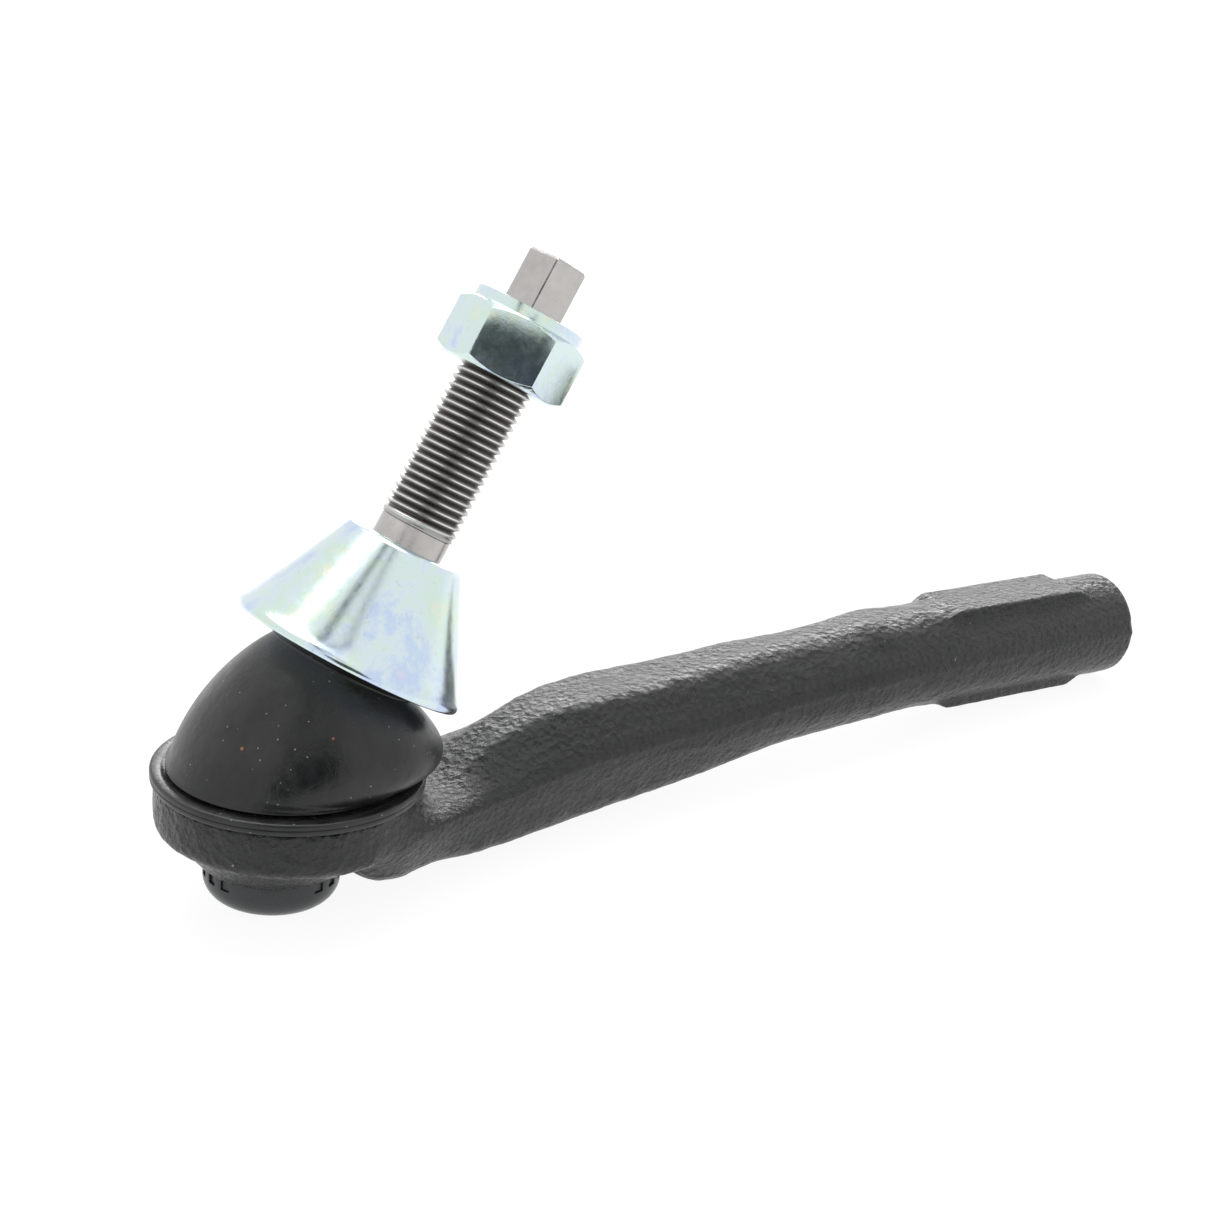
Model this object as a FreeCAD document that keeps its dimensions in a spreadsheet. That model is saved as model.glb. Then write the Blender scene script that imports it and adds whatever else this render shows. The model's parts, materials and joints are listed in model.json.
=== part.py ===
import FreeCAD, Part
import math
import os
import Sketcher

# Outer tie rod end with a ball stud, a conical seat collar and a lock nut.
# Frame: millimetres, +Z up, origin at the centre of the ball.
# +X runs along the forged arm to its threaded end, +Z is the axis of the ball socket.
# The stud leans from +Z towards +X, and "along the stud" means the distance from the ball centre.

doc = FreeCAD.newDocument("tie_rod_end")
sheet = doc.addObject("Spreadsheet::Sheet", "sizes")

DRIVING_SIZES = [
    # Ball stud, measured from the ball centre along the stud
    ("stud_lean", 29.0), ("ball_dia", 25.0), ("neck_dia", 11.0), ("shank_dia", 12.9),
    ("thread_dia", 13.85), ("drive_flats", 7.7), ("drive_round", 10.2),
    ("neck_end", 15.0), ("shank_start", 18.0), ("thread_start", 47.2),
    ("thread_chamfer_start", 87.2), ("thread_end", 88.6), ("drive_chamfer_start", 98.6),
    ("stud_end", 99.2), ("drive_tip_round", 9.2), ("drive_turn", 7.0),
    # Cone collar
    ("cone_base_radius", 21.1), ("cone_top_radius", 10.4), ("cone_underside", 21.5),
    ("cone_rim_top", 22.8), ("cone_top", 43.5), ("cone_mouth_radius", 7.1), ("cone_mouth_depth", 0.7),
    # Lock nut
    ("nut_underside", 76.2), ("nut_hex_top", 87.2), ("nut_flats", 21.0), ("nut_collar_radius", 10.1),
    ("nut_collar_top", 89.1), ("nut_washer_face", 10.2), ("lock_ring_radius", 9.0),
    ("lock_ring_start", 86.0), ("lock_ring_end", 88.5), ("nut_lip_radius", 7.9), ("nut_turn", 25.0),
    # Running and press gaps, and how far a cutting or joining tool runs past the surface it meets
    ("ball_gap", 0.05), ("fit_gap", 0.05), ("thread_gap", 0.08), ("swivel_gap", 0.1), ("overrun", 1.0),
    # Socket of the forging
    ("socket_radius", 23.0), ("socket_top", -2.2), ("socket_bottom", -11.0), ("socket_edge", 2.2),
    ("collar_radius", 15.3), ("collar_top", 8.3), ("bore_radius", 14.0), ("bore_top", 7.7),
    ("lip_radius", 12.8), ("bore_bottom", -7.0), ("floor_bottom", -13.0), ("spring_hole_radius", 6.5),
    ("boss_radius", 10.9), ("boss_root_radius", 12.7), ("boss_root", -16.8), ("boss_bottom", -19.3),
    ("underside_radius", 20.8), ("underside_overlap", 0.5), ("cap_offset", -2.6),
    # Bearing, spring and closing pieces
    ("bearing_bottom", -14.0), ("bearing_split", -0.1), ("bearing_top", 6.3), ("bearing_flare", 11.6),
    ("bearing_foot_radius", 6.4), ("closing_ring_radius", 12.2), ("closing_ring_bottom", 6.35),
    ("pad_radius", 6.2), ("pad_bottom", -15.6), ("spring_radius", 4.6), ("spring_wire", 1.6),
    ("spring_pitch", 2.2),
    ("cap_radius", 12.0), ("cap_top", -17.0), ("cap_bottom", -23.6), ("cap_floor", -22.2),
    ("cap_edge", 4.2), ("cap_inside_edge", 3.0), ("cap_notch_width", 1.9), ("cap_notch_height", 2.0),
    ("cap_notch_depth", 0.5),
    # Boot
    ("flange_radius", 23.8), ("flange_top", 0.2), ("flange_bore_radius", 16.0), ("flange_gap", 0.4),
    ("boot_wall", 1.4),
    ("boot_foot", 0.6), ("boot_foot_radius", 20.5), ("boot_foot_offset", -0.4), ("boot_bulge", 7.2),
    ("boot_bulge_radius", 25.8), ("boot_bulge_offset", 9.6), ("boot_shoulder_radius", 15.1),
    ("boot_shoulder_back", 0.92), ("boot_shoulder_drop", 1.65), ("boot_neck_radius", 13.0),
    ("boot_top", 20.3), ("boot_lean_power", 0.66),
    ("neck_ring_radius", 11.4), ("neck_ring_start", 18.4), ("neck_ring_end", 21.2),
    # Arm
    ("rod_radius", 10.75), ("rod_start", 139.0), ("rod_end", 197.0), ("end_chamfer", 1.2),
    ("tie_thread_radius", 7.19), ("tie_thread_depth", 45.0), ("tie_thread_mouth", 1.2),
    ("flat_start", 146.0), ("flat_end", 186.0), ("flat_ramp", 3.0), ("flat_half_width", 6.1),
    ("flat_half_height", 10.9),
]

# Stations of the forged arm, one row for each cross-section: distance along X; half width at the
# die parting line, at the top and at the bottom; height of the parting line, the top and the
# bottom; half height of the land at the parting line; largest corner radius.
ARM_STATIONS = [
    (6.0, 20.0, 10.0, 15.0, -8.4, -5.4, -15.4, 1.5, 4.0),
    (20.0, 17.6, 7.6, 14.0, -8.0, -5.2, -18.3, 1.5, 4.0),
    (32.0, 13.8, 5.0, 11.6, -7.8, -4.4, -18.9, 1.5, 4.0),
    (44.0, 12.4, 4.6, 9.8, -6.2, 1.7, -18.8, 1.6, 4.0),
    (57.0, 11.8, 6.3, 8.0, -4.2, 5.0, -17.8, 1.8, 4.0),
    (72.0, 11.0, 6.6, 7.0, -3.5, 6.2, -16.6, 2.2, 4.5),
    (88.0, 10.3, 6.0, 6.4, -2.8, 7.4, -14.7, 2.8, 5.5),
    (104.0, 10.1, 5.2, 5.6, -1.4, 8.5, -12.6, 3.4, 7.0),
    (122.0, 10.2, 4.5, 4.7, -0.6, 9.3, -11.7, 4.0, 9.0),
    (140.0, 10.35, 4.3, 4.3, 0.0, 10.3, -10.3, 4.3, 10.3),
]
# Dents round the end cap's rim: three groups of three, by their directions round the cap in degrees.
DENT_DIRECTIONS = [group + step for group in (-175, -57, 63) for step in (-17, 0, 17)]
BOOT_RINGS = 9
# The share of a side that one of its two corner arcs may take, so that the arcs never meet.
ARC_SHARE = 0.48


def fill_sheet():
    """Write every driving size and the few sizes that follow from them."""
    for row, (alias, value) in enumerate(DRIVING_SIZES, start=1):
        sheet.set(f"A{row}", alias.replace("_", " "))
        sheet.set(f"B{row}", str(value))
        sheet.setAlias(f"B{row}", alias)
    derived = [
        ("ball_radius", "=ball_dia / 2"),
        ("neck_radius", "=neck_dia / 2"),
        ("shank_radius", "=shank_dia / 2"),
        ("thread_radius", "=thread_dia / 2"),
        ("socket_seat_radius", "=ball_dia / 2 + ball_gap"),
        ("shell_radius", "=bore_radius - fit_gap"),
        ("nut_bore_radius", "=thread_dia / 2 + thread_gap"),
        ("ring_bore_radius", "=shank_dia / 2 + swivel_gap"),
        ("drive_round_radius", "=drive_round / 2"),
        ("drive_tip_radius", "=drive_tip_round / 2"),
        ("thread_chamfer_radius", "=thread_dia / 2 - thread_end + thread_chamfer_start"),
        ("cone_mouth_start", "=cone_top - cone_mouth_depth"),
        ("lock_pocket_radius", "=lock_ring_radius + fit_gap"),
        ("lock_pocket_start", "=lock_ring_start - fit_gap"),
        ("lock_pocket_end", "=lock_ring_end + fit_gap"),
        ("cap_inner_radius", "=boss_radius + fit_gap"),
        ("closing_ring_top", "=bore_top - fit_gap"),
        ("pad_top", "=bearing_bottom - fit_gap"),
        ("foot_cone_end", "=floor_bottom + 3 * fit_gap"),
        ("bore_bottom_gap", "=bore_bottom + 2 * fit_gap"),
        ("bearing_flare_tip", "=bearing_top - bearing_flare"),
        ("cavity_bottom", "=boss_bottom - overrun"),
        ("cavity_top", "=collar_top + overrun"),
        ("tie_hole_floor", "=rod_end - tie_thread_depth"),
        ("tie_hole_tip", "=rod_end - tie_thread_depth - tie_thread_radius / 2"),
        ("tie_mouth_start", "=rod_end - tie_thread_mouth"),
        ("tie_mouth_radius", "=tie_thread_radius + tie_thread_mouth"),
        ("tie_hole_out", "=rod_end + overrun"),
        ("flange_bottom", "=socket_top"),
        ("thread_lead", "=thread_start + thread_dia / 2 - shank_dia / 2"),
        ("nut_corner_radius", "=nut_flats / 2 / cos(30 deg) + 0.1"),
        ("nut_low_chamfer", "=nut_underside + (nut_corner_radius - nut_washer_face) * 0.6"),
        ("nut_high_chamfer", "=nut_hex_top - (nut_corner_radius - nut_collar_radius) * 0.6"),
        ("nut_bore_start", "=nut_underside - overrun"),
        ("nut_bore_end", "=nut_collar_top + overrun"),
        ("nut_mouth_radius", "=thread_dia / 2 + 0.6"),
        ("nut_mouth_end", "=nut_underside + 0.6"),
    ]
    for row, (alias, formula) in enumerate(derived, start=len(DRIVING_SIZES) + 2):
        sheet.set(f"A{row}", alias.replace("_", " "))
        sheet.set(f"B{row}", formula)
        sheet.setAlias(f"B{row}", alias)
    doc.recompute()


def size(alias):
    """The sheet's value for a word; a number stands for itself."""
    if isinstance(alias, str):
        return float(sheet.get(alias))
    return float(alias)


def bind(item, prop, expression):
    """Tie a property to the sheet. Words in braces become references to its cells."""
    item.setExpression(prop, expression.replace("{", "sizes.").replace("}", ""))


def lean_with_stud(item):
    """Lean a piece from the socket axis to the stud axis, about the ball centre."""
    item.Placement = FreeCAD.Placement(FreeCAD.Vector(), FreeCAD.Rotation(FreeCAD.Vector(0, 1, 0), 1))
    bind(item, "Placement.Rotation.Angle", "{stud_lean} * 1 deg")


def origin_plane(body, role):
    return [feature for feature in body.Origin.OriginFeatures if feature.Role == role][0]


def outline(body, name, corners, role="XZ_Plane"):
    """A closed sketch whose corners are held at sheet sizes, given as (across, up) words."""
    sketch = body.newObject("Sketcher::SketchObject", name)
    sketch.AttachmentSupport = [(origin_plane(body, role), "")]
    sketch.MapMode = "FlatFace"
    places = [FreeCAD.Vector(size(across), size(up), 0) for across, up in corners]
    for start, end in zip(places, places[1:] + places[:1]):
        sketch.addGeometry(Part.LineSegment(start, end), False)
    count = len(corners)
    for index in range(count):
        sketch.addConstraint(Sketcher.Constraint("Coincident", index, 2, (index + 1) % count, 1))
    for index, corner in enumerate(corners):
        for kind, alias in zip(("DistanceX", "DistanceY"), corner):
            number = sketch.addConstraint(Sketcher.Constraint(kind, -1, 1, index, 1, size(alias)))
            if isinstance(alias, str):
                bind(sketch, f"Constraints[{number}]", "{" + alias + "}")
    return sketch


def turned(name, corners):
    """A body turned about Z from half an outline, given as (radius, height) words."""
    body = doc.addObject("PartDesign::Body", name)
    sketch = outline(body, name + "_outline", corners)
    turn = body.newObject("PartDesign::Revolution", name + "_turning")
    turn.Profile = sketch
    turn.ReferenceAxis = (sketch, ["V_Axis"])
    turn.Angle = 360
    body.Tip = turn
    return body


def cut(name, base, *tools):
    """Base minus the tools."""
    result = doc.addObject("Part::Cut", name)
    result.Base = base
    result.Tool = tools[0] if len(tools) == 1 else joined(name + "_tools", *tools)
    return result


def joined(name, *pieces):
    result = doc.addObject("Part::MultiFuse", name)
    result.Shapes = list(pieces)
    return result


def sphere(name, radius):
    ball = doc.addObject("Part::Sphere", name)
    bind(ball, "Radius", radius)
    return ball


def cylinder(name, radius, height, base):
    rod = doc.addObject("Part::Cylinder", name)
    bind(rod, "Radius", radius)
    bind(rod, "Height", height)
    bind(rod, "Placement.Base.z", base)
    return rod


# ---------------------------------------------------------------- forging

def rounded_ring(along, corners, largest_radius):
    """A closed wire across X through (y, z) corners, with a tangent arc at each of them."""
    places = [FreeCAD.Vector(along, y, z) for y, z in corners]
    arcs = []
    for index, corner in enumerate(places):
        to_last = places[index - 1] - corner
        to_next = places[(index + 1) % len(places)] - corner
        half_opening = to_last.getAngle(to_next) / 2
        reach = min(largest_radius / math.tan(half_opening), ARC_SHARE * to_last.Length,
                    ARC_SHARE * to_next.Length)
        radius = reach * math.tan(half_opening)
        inwards = (to_last.normalize() + to_next.normalize()).normalize()
        middle = corner + inwards * (radius / math.sin(half_opening) - radius)
        arcs.append((corner + to_last * reach, middle, corner + to_next * reach))
    edges = []
    for index, (start, middle, end) in enumerate(arcs):
        edges.append(Part.Arc(start, middle, end).toShape())
        edges.append(Part.LineSegment(end, arcs[(index + 1) % len(arcs)][0]).toShape())
    return Part.Wire(edges)


def arm_ring(station):
    """One cross-section of the arm: drafted sides above and below a narrow land at the die line."""
    along, side, top_half, bottom_half, parting, top, bottom, land, radius = station
    near = [(side, parting - land), (side, parting + land), (top_half, top)]
    far = [(-y, z) for y, z in reversed(near)]
    return rounded_ring(along, near + far + [(-bottom_half, bottom), (bottom_half, bottom)], radius)


def forged_arm():
    """The arm blends from a boxy forging at the socket into the round rod."""
    arm = doc.addObject("Part::Feature", "arm_blend")
    arm.Shape = Part.makeLoft([arm_ring(station) for station in ARM_STATIONS], True, False)
    return arm


def edges_where(shape, test):
    """Numbers of the edges whose box passes the test, as fillets and chamfers want them."""
    return [number for number, edge in enumerate(shape.Edges, 1) if test(edge.BoundBox)]


def broken(kind, name, base, test, first, second=None):
    """A Part::Fillet or Part::Chamfer on the edges of base that pass the test."""
    doc.recompute()
    result = doc.addObject(kind, name)
    result.Base = base
    sizes = (first, first if second is None else second)
    result.Edges = [(number, *sizes) for number in edges_where(base.Shape, test)]
    return result


def round_rod():
    """The round end of the arm, chamfered at its open end."""
    rod = doc.addObject("Part::Cylinder", "rod")
    rod.Placement = FreeCAD.Placement(FreeCAD.Vector(), FreeCAD.Rotation(FreeCAD.Vector(0, 1, 0), 90))
    bind(rod, "Radius", "{rod_radius}")
    bind(rod, "Height", "{rod_end} - {rod_start}")
    bind(rod, "Placement.Base.x", "{rod_start}")
    far_end = size("rod_end") - 0.1
    return broken("Part::Chamfer", "rod_end_chamfer", rod, lambda box: box.XMin > far_end,
                  size("end_chamfer"))


def wrench_flats():
    """One bar across the rod gives the flats above and below; its ends ramp down to the rod."""
    bar = doc.addObject("Part::Box", "flats_bar")
    bind(bar, "Length", "{flat_end} - {flat_start}")
    bind(bar, "Width", "2 * {flat_half_width}")
    bind(bar, "Height", "2 * {flat_half_height}")
    bind(bar, "Placement.Base.x", "{flat_start}")
    bind(bar, "Placement.Base.y", "-{flat_half_width}")
    bind(bar, "Placement.Base.z", "-{flat_half_height}")
    return broken("Part::Chamfer", "flats_ramped", bar,
                  lambda box: box.XLength < 0.01 and box.ZLength < 0.01,
                  size("flat_ramp") / 2, size("flat_ramp"))


def socket_blank():
    """Socket ring and the collar that stands up inside the boot, before boring."""
    ring = turned("socket_ring", [
        (0, "socket_bottom"), ("socket_radius", "socket_bottom"), ("socket_radius", "socket_top"),
        ("collar_radius", "socket_top"), ("collar_radius", "collar_top"), (0, "collar_top")])
    low, outer = size("socket_bottom") + 0.01, size("socket_radius")
    return broken("Part::Fillet", "socket_ring_rounded", ring,
                  lambda box: box.ZMax < low and box.XMax > outer - 0.1, size("socket_edge"))


def underside():
    """Oblique cone from under the socket ring to the boss, which stands off the socket axis."""
    rings = []
    levels = (("underside_top_ring", "{underside_radius}", "{socket_bottom} + {underside_overlap}", "0"),
              ("underside_low_ring", "{boss_root_radius}", "{boss_root}", "{cap_offset}"))
    for name, radius, height, offset in levels:
        ring = doc.addObject("Part::Circle", name)
        bind(ring, "Radius", radius)
        bind(ring, "Placement.Base.z", height)
        bind(ring, "Placement.Base.x", offset)
        rings.append(ring)
    cone = doc.addObject("Part::Loft", "underside_cone")
    cone.Sections = rings
    cone.Solid = True
    boss = cylinder("cap_boss", "{boss_radius}", "{boss_root} - {boss_bottom} + {overrun}",
                    "{boss_bottom}")
    bind(boss, "Placement.Base.x", "{cap_offset}")
    return cone, boss


def socket_cavity():
    """Everything bored out of the socket: spring hole, coned floor, bearing bore and rolled lip."""
    return turned("socket_cavity", [
        (0, "cavity_bottom"), ("spring_hole_radius", "cavity_bottom"),
        ("spring_hole_radius", "floor_bottom"), ("bore_radius", "bore_bottom"),
        ("bore_radius", "bore_top"), ("lip_radius", "bore_top"), ("lip_radius", "cavity_top"),
        (0, "cavity_top")])


def tie_rod_hole():
    """Tapped hole in the rod's end, drawn at its minor diameter, with a countersunk mouth."""
    hole = turned("tie_rod_hole", [
        (0, "tie_hole_tip"), ("tie_thread_radius", "tie_hole_floor"),
        ("tie_thread_radius", "tie_mouth_start"), ("tie_mouth_radius", "rod_end"),
        ("tie_mouth_radius", "tie_hole_out"), (0, "tie_hole_out")])
    hole.Placement = FreeCAD.Placement(FreeCAD.Vector(), FreeCAD.Rotation(FreeCAD.Vector(0, 1, 0), 90))
    return hole


def forged_housing():
    """Socket, arm and rod in one piece. The arm is cut back to stay below the boot's base ring."""
    arm = cut("arm_below_flange", forged_arm(),
              cylinder("flange_room", "{flange_radius} + {flange_gap}", "{collar_top} - {socket_top}",
                       "{socket_top}"))
    cone, boss = underside()
    solid = joined("forging_solid", socket_blank(), cone, boss, arm, round_rod(), wrench_flats())
    return cut("forged_housing", solid, socket_cavity(), tie_rod_hole())


# ---------------------------------------------------------------- inside the socket

def lower_bearing():
    shell = turned("lower_shell", [
        (0, "bearing_bottom"), ("bearing_foot_radius", "bearing_bottom"),
        ("bearing_foot_radius", "foot_cone_end"), ("shell_radius", "bore_bottom_gap"),
        ("shell_radius", "bearing_split"), (0, "bearing_split")])
    return cut("lower_bearing", shell, sphere("lower_seat", "{socket_seat_radius}"))


def upper_bearing():
    """The upper half holds the ball down. Its mouth flares to clear the swinging neck."""
    shell = turned("upper_shell", [
        (0, 0), ("shell_radius", 0), ("shell_radius", "bearing_top"), ("bearing_flare", "bearing_top"),
        (0, "bearing_flare_tip")])
    return cut("upper_bearing", shell, sphere("upper_seat", "{socket_seat_radius}"))


def closing_ring():
    return turned("closing_ring", [
        ("closing_ring_radius", "closing_ring_bottom"), ("shell_radius", "closing_ring_bottom"),
        ("shell_radius", "closing_ring_top"), ("closing_ring_radius", "closing_ring_top")])


def pressure_pad():
    return turned("pressure_pad", [
        (0, "pad_bottom"), ("pad_radius", "pad_bottom"), ("pad_radius", "pad_top"), (0, "pad_top")])


def preload_spring():
    """Coil spring between the end cap and the pressure pad."""
    helix = doc.addObject("Part::Helix", "spring_line")
    bind(helix, "Radius", "{spring_radius}")
    bind(helix, "Pitch", "{spring_pitch}")
    bind(helix, "Height", "{pad_bottom} - {cap_floor} - {spring_wire} - 4 * {fit_gap}")
    bind(helix, "Placement.Base.z", "{cap_floor} + {spring_wire} / 2 + 2 * {fit_gap}")
    wire = doc.addObject("Part::Circle", "spring_section")
    wire.Placement = FreeCAD.Placement(FreeCAD.Vector(), FreeCAD.Rotation(FreeCAD.Vector(1, 0, 0), 90))
    bind(wire, "Radius", "{spring_wire} / 2")
    bind(wire, "Placement.Base.x", "{spring_radius}")
    bind(wire, "Placement.Base.z", "{cap_floor} + {spring_wire} / 2 + 2 * {fit_gap}")
    coil = doc.addObject("Part::Sweep", "preload_spring")
    coil.Sections = [wire]
    coil.Spine = helix
    coil.Solid = True
    coil.Frenet = True
    return coil


def end_cap():
    """Drawn cap over the boss, with small dents round its rim where it is staked on."""
    outer = cylinder("cap_outside", "{cap_radius}", "{cap_top} - {cap_bottom}", "{cap_bottom}")
    low = size("cap_bottom") + 0.01
    domed = broken("Part::Fillet", "cap_domed", outer, lambda box: box.ZMax < low, size("cap_edge"))
    inner = cylinder("cap_inside", "{cap_inner_radius}", "{cap_top} - {cap_floor} + {overrun}", "{cap_floor}")
    floor = size("cap_floor") + 0.01
    inner = broken("Part::Fillet", "cap_inside_rounded", inner, lambda box: box.ZMax < floor,
                   size("cap_inside_edge"))
    dents = [inner]
    for number, direction in enumerate(DENT_DIRECTIONS, start=1):
        dent = doc.addObject("Part::Box", f"cap_dent_{number}")
        bind(dent, "Length", "{overrun}")
        bind(dent, "Width", "{cap_notch_width}")
        bind(dent, "Height", "{cap_notch_height} + {overrun}")
        turn = FreeCAD.Rotation(FreeCAD.Vector(0, 0, 1), direction)
        corner = FreeCAD.Vector(size("cap_radius") - size("cap_notch_depth"),
                                -size("cap_notch_width") / 2, size("cap_top") - size("cap_notch_height"))
        dent.Placement = FreeCAD.Placement(turn.multVec(corner), turn)
        dents.append(dent)
    cap = cut("end_cap", domed, *dents)
    bind(cap, "Placement.Base.x", "{cap_offset}")
    return cap


# ---------------------------------------------------------------- boot

def boot_base_ring():
    """Rubber-covered steel ring at the boot's foot, pressed down on the socket ring."""
    return turned("boot_base_ring", [
        ("flange_bore_radius", "flange_bottom"), ("flange_radius", "flange_bottom"),
        ("flange_radius", "flange_top"), ("flange_bore_radius", "flange_top")])


def blend(values, part):
    """Cubic Bezier blend of four values."""
    rest = 1 - part
    weights = (rest ** 3, 3 * part * rest ** 2, 3 * part ** 2 * rest, part ** 3)
    return sum(weight * value for weight, value in zip(weights, values))


def boot_rings(wall):
    """Rings of the leaning boot, from its foot to its neck. Wall moves them inwards."""
    lean = math.radians(size("stud_lean"))
    neck = FreeCAD.Vector(size("boot_top") * math.sin(lean), 0, size("boot_top") * math.cos(lean))
    radii = [size(word) for word in ("boot_foot_radius", "boot_bulge_radius", "boot_shoulder_radius",
                                     "boot_neck_radius")]
    across = (size("boot_foot_offset"), size("boot_bulge_offset"), neck.x - size("boot_shoulder_back"),
              neck.x)
    height = (size("boot_foot"), size("boot_bulge"), neck.z - size("boot_shoulder_drop"), neck.z)
    rings = []
    for step in range(BOOT_RINGS):
        part = step / (BOOT_RINGS - 1)
        tilt = size("stud_lean") * part ** size("boot_lean_power")
        normal = FreeCAD.Rotation(FreeCAD.Vector(0, 1, 0), tilt).multVec(FreeCAD.Vector(0, 0, 1))
        centre = FreeCAD.Vector(blend(across, part), 0, blend(height, part))
        circle = Part.Circle(centre, normal, blend(radii, part) - wall)
        rings.append(Part.Wire([circle.toShape()]))
    return rings


def boot():
    """Rubber boot, leaned over with the stud: a thin shell open at foot and neck."""
    skin = doc.addObject("Part::Feature", "boot_outside")
    skin.Shape = Part.makeLoft(boot_rings(0), True, False)
    hollow = doc.addObject("Part::Feature", "boot_inside")
    hollow.Shape = Part.makeLoft(boot_rings(size("boot_wall")), True, False)
    return cut("boot", skin, hollow)


def boot_neck_ring():
    """Ring that seals the boot's neck on the shank: it leans with the stud but doesn't turn with it."""
    ring = turned("boot_neck_ring", [
        ("ring_bore_radius", "neck_ring_start"), ("neck_ring_radius", "neck_ring_start"),
        ("neck_ring_radius", "neck_ring_end"), ("ring_bore_radius", "neck_ring_end")])
    lean_with_stud(ring)
    return ring


# ---------------------------------------------------------------- stud, collar and nut

def ball_stud():
    """Ball, neck, shank, thread at its major diameter and the square drive on the tip."""
    shank = turned("stud_shank", [
        (0, 0), ("neck_radius", 0), ("neck_radius", "neck_end"), ("shank_radius", "shank_start"),
        ("shank_radius", "thread_start"), ("thread_radius", "thread_lead"),
        ("thread_radius", "thread_chamfer_start"), ("thread_chamfer_radius", "thread_end"),
        (0, "thread_end")])
    drive = doc.addObject("Part::Box", "drive_square")
    bind(drive, "Length", "{drive_flats}")
    bind(drive, "Width", "{drive_flats}")
    bind(drive, "Height", "{stud_end} - {thread_end} + {overrun}")
    half = size("drive_flats") / 2
    turn = FreeCAD.Rotation(FreeCAD.Vector(0, 0, 1), size("drive_turn"))
    base = FreeCAD.Vector(-half, -half, size("thread_end") - size("overrun"))
    drive.Placement = FreeCAD.Placement(turn.multVec(base), turn)
    tip = turned("drive_turning", [
        (0, "neck_end"), ("drive_round_radius", "neck_end"), ("drive_round_radius", "drive_chamfer_start"),
        ("drive_tip_radius", "stud_end"), (0, "stud_end")])
    square = doc.addObject("Part::MultiCommon", "square_drive")
    square.Shapes = [drive, tip]
    stud = joined("ball_stud", sphere("ball", "{ball_radius}"), shank, square)
    lean_with_stud(stud)
    return stud


def cone_collar():
    """Conical seat for the knuckle's taper, bored to press on the shank."""
    collar = turned("cone_collar", [
        ("shank_radius", "cone_underside"), ("cone_base_radius", "cone_underside"),
        ("cone_base_radius", "cone_rim_top"), ("cone_top_radius", "cone_top"),
        ("cone_mouth_radius", "cone_top"), ("shank_radius", "cone_mouth_start")])
    lean_with_stud(collar)
    return collar


def nut_lock_ring():
    """Locking insert held in the nut's round collar."""
    ring = turned("nut_lock_ring", [
        ("nut_bore_radius", "lock_ring_start"), ("lock_ring_radius", "lock_ring_start"),
        ("lock_ring_radius", "lock_ring_end"), ("nut_bore_radius", "lock_ring_end")])
    lean_with_stud(ring)
    return ring


def hex_nut():
    """Hexagon with chamfered corners, a round collar at its outer end and room for the insert."""
    prism = doc.addObject("Part::Prism", "nut_hexagon")
    prism.Polygon = 6
    bind(prism, "Circumradius", "{nut_flats} / 2 / cos(30 deg)")
    bind(prism, "Height", "{nut_hex_top} - {nut_underside}")
    bind(prism, "Placement.Base.z", "{nut_underside}")
    spun = FreeCAD.Rotation(FreeCAD.Vector(0, 0, 1), size("nut_turn"))
    prism.Placement.Rotation = spun
    corners = turned("nut_turning", [
        (0, "nut_underside"), ("nut_washer_face", "nut_underside"),
        ("nut_corner_radius", "nut_low_chamfer"), ("nut_corner_radius", "nut_high_chamfer"),
        ("nut_collar_radius", "nut_hex_top"), (0, "nut_hex_top")])
    hexagon = doc.addObject("Part::MultiCommon", "nut_hexagon_chamfered")
    hexagon.Shapes = [prism, corners]
    collar = cylinder("nut_round_collar", "{nut_collar_radius}",
                      "{nut_collar_top} - {nut_hex_top} + {overrun}", "{nut_hex_top} - {overrun}")
    bore = turned("nut_bore", [
        (0, "nut_bore_start"), ("nut_mouth_radius", "nut_bore_start"),
        ("nut_mouth_radius", "nut_underside"), ("nut_bore_radius", "nut_mouth_end"),
        ("nut_bore_radius", "lock_pocket_start"), ("lock_pocket_radius", "lock_pocket_start"),
        ("lock_pocket_radius", "lock_pocket_end"), ("nut_lip_radius", "lock_pocket_end"),
        ("nut_lip_radius", "nut_bore_end"), (0, "nut_bore_end")])
    nut = cut("hex_nut", joined("nut_blank", hexagon, collar), bore)
    lean_with_stud(nut)
    return nut


fill_sheet()
pieces = [
    forged_housing(), lower_bearing(), upper_bearing(), closing_ring(), pressure_pad(),
    preload_spring(), end_cap(), boot_base_ring(), boot(), boot_neck_ring(), ball_stud(),
    cone_collar(), nut_lock_ring(), hex_nut(),
]
for piece in pieces:
    piece.Label = piece.Name
doc.recompute()

for item in doc.Objects:
    if "Invalid" in item.State or "Error" in item.State:
        raise RuntimeError(f"{item.Name} failed to build: {item.State}")
for piece in pieces:
    if piece.Shape.isNull() or not piece.Shape.isValid():
        raise RuntimeError(f"{piece.Label} has no valid shape")

os.makedirs("parts", exist_ok=True)
for piece in pieces:
    piece.Shape.exportStep(f"parts/{piece.Label}.step")
    print(f"{piece.Label}: {piece.Shape.Volume:.0f} mm3, {len(piece.Shape.Solids)} solid")
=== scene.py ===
import json
import math

import bmesh
import bpy
import numpy as np
from mathutils import Matrix, Vector, noise


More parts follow.
